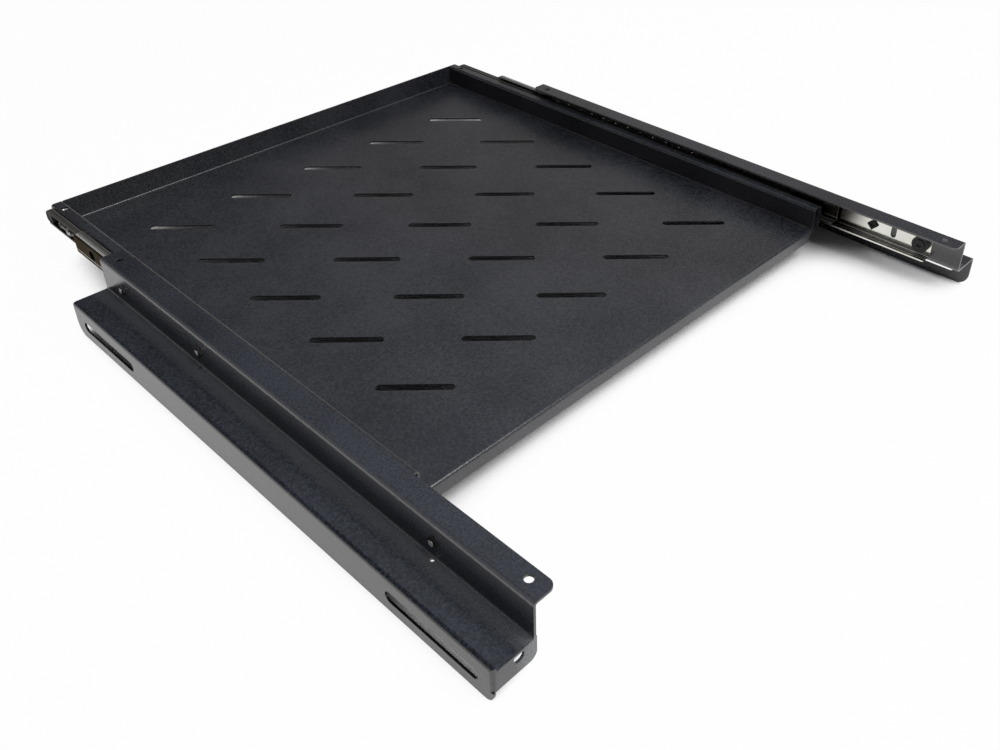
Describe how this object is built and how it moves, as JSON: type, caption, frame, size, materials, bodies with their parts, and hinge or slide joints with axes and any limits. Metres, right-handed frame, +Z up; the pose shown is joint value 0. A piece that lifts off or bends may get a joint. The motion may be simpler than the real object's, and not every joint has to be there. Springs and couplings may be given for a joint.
{
  "type": "sliding rack shelf",
  "caption": "Black slotted sheet-metal rack tray, partly pulled out on two telescopic ball slides screwed to stepped side brackets, one with a rear tab.",
  "frame": {"origin": "under the middle of the shelf as it is drawn, partly pulled out, at the height of the brackets' feet", "axes": "+X to the right as seen by someone who stands in front and pulls the tray, +Y from the front to the rear of the rack, +Z up"},
  "size_m": [0.499, 0.545, 0.05],
  "materials": {
    "tray_powder_coat": "satin fine texture powder coat",
    "bracket_powder_coat": "satin fine texture powder coat",
    "zinc_steel": "bright zinc plated",
    "cage_steel": "plain rolled strip",
    "ball_steel": "polished",
    "bumper_rubber": "matt",
    "dark_screw_steel": "blackened",
    "bright_screw_steel": "zinc plated",
    "lever_plastic": "moulded black",
    "rivet_steel": "zinc plated"
  },
  "bodies": {
    "brackets": {"right_bracket": "bracket_powder_coat", "right_outer_member": "zinc_steel", "right_bracket_screws": "dark_screw_steel", "right_rear_bumper": "bumper_rubber", "left_bracket": "bracket_powder_coat", "left_outer_member": "zinc_steel", "left_bracket_screws": "dark_screw_steel", "left_rear_bumper": "bumper_rubber"},
    "tray": {"tray": "tray_powder_coat", "right_inner_member": "zinc_steel", "right_tray_screws": "bright_screw_steel", "right_lever_rivet": "rivet_steel", "left_inner_member": "zinc_steel", "left_tray_screws": "bright_screw_steel", "left_lever_rivet": "rivet_steel"},
    "right_middle": {"right_middle_member": "zinc_steel"},
    "right_outer_cage": {"right_outer_cage": "cage_steel", "right_outer_balls": "ball_steel"},
    "right_inner_cage": {"right_inner_cage": "cage_steel", "right_inner_balls": "ball_steel"},
    "right_lever": {"right_release_lever": "lever_plastic"},
    "left_middle": {"left_middle_member": "zinc_steel"},
    "left_outer_cage": {"left_outer_cage": "cage_steel", "left_outer_balls": "ball_steel"},
    "left_inner_cage": {"left_inner_cage": "cage_steel", "left_inner_balls": "ball_steel"},
    "left_lever": {"left_release_lever": "lever_plastic"}
  },
  "joints": [
    {"name": "tray_slide", "type": "slide", "parent": "brackets", "child": "tray", "axis": [0, -1, 0], "range_m": [-0.115, 0.29]},
    {"name": "right_middle_slide", "type": "slide", "parent": "brackets", "child": "right_middle", "axis": [0, -1, 0], "range_m": [-0.0575, 0.145]},
    {"name": "right_outer_cage_slide", "type": "slide", "parent": "brackets", "child": "right_outer_cage", "axis": [0, -1, 0], "range_m": [-0.02875, 0.0725]},
    {"name": "right_inner_cage_slide", "type": "slide", "parent": "brackets", "child": "right_inner_cage", "axis": [0, -1, 0], "range_m": [-0.08625, 0.2175]},
    {"name": "right_lever_pivot", "type": "hinge", "parent": "tray", "child": "right_lever", "pos_m": [0.2132, -0.2315, 0.037], "axis": [1, 0, 0], "range_deg": [-5, 5], "stiffness_Nm_per_rad": 0.005},
    {"name": "left_middle_slide", "type": "slide", "parent": "brackets", "child": "left_middle", "axis": [0, -1, 0], "range_m": [-0.0575, 0.145]},
    {"name": "left_outer_cage_slide", "type": "slide", "parent": "brackets", "child": "left_outer_cage", "axis": [0, -1, 0], "range_m": [-0.02875, 0.0725]},
    {"name": "left_inner_cage_slide", "type": "slide", "parent": "brackets", "child": "left_inner_cage", "axis": [0, -1, 0], "range_m": [-0.08625, 0.2175]},
    {"name": "left_lever_pivot", "type": "hinge", "parent": "tray", "child": "left_lever", "pos_m": [-0.2132, -0.2315, 0.037], "axis": [1, 0, 0], "range_deg": [-5, 5], "stiffness_Nm_per_rad": 0.005}
  ],
  "couplings": [
    {"joint": "right_middle_slide", "follows": "tray_slide", "ratio": 0.5},
    {"joint": "right_outer_cage_slide", "follows": "tray_slide", "ratio": 0.25},
    {"joint": "right_inner_cage_slide", "follows": "tray_slide", "ratio": 0.75},
    {"joint": "left_middle_slide", "follows": "tray_slide", "ratio": 0.5},
    {"joint": "left_outer_cage_slide", "follows": "tray_slide", "ratio": 0.25},
    {"joint": "left_inner_cage_slide", "follows": "tray_slide", "ratio": 0.75}
  ]
}
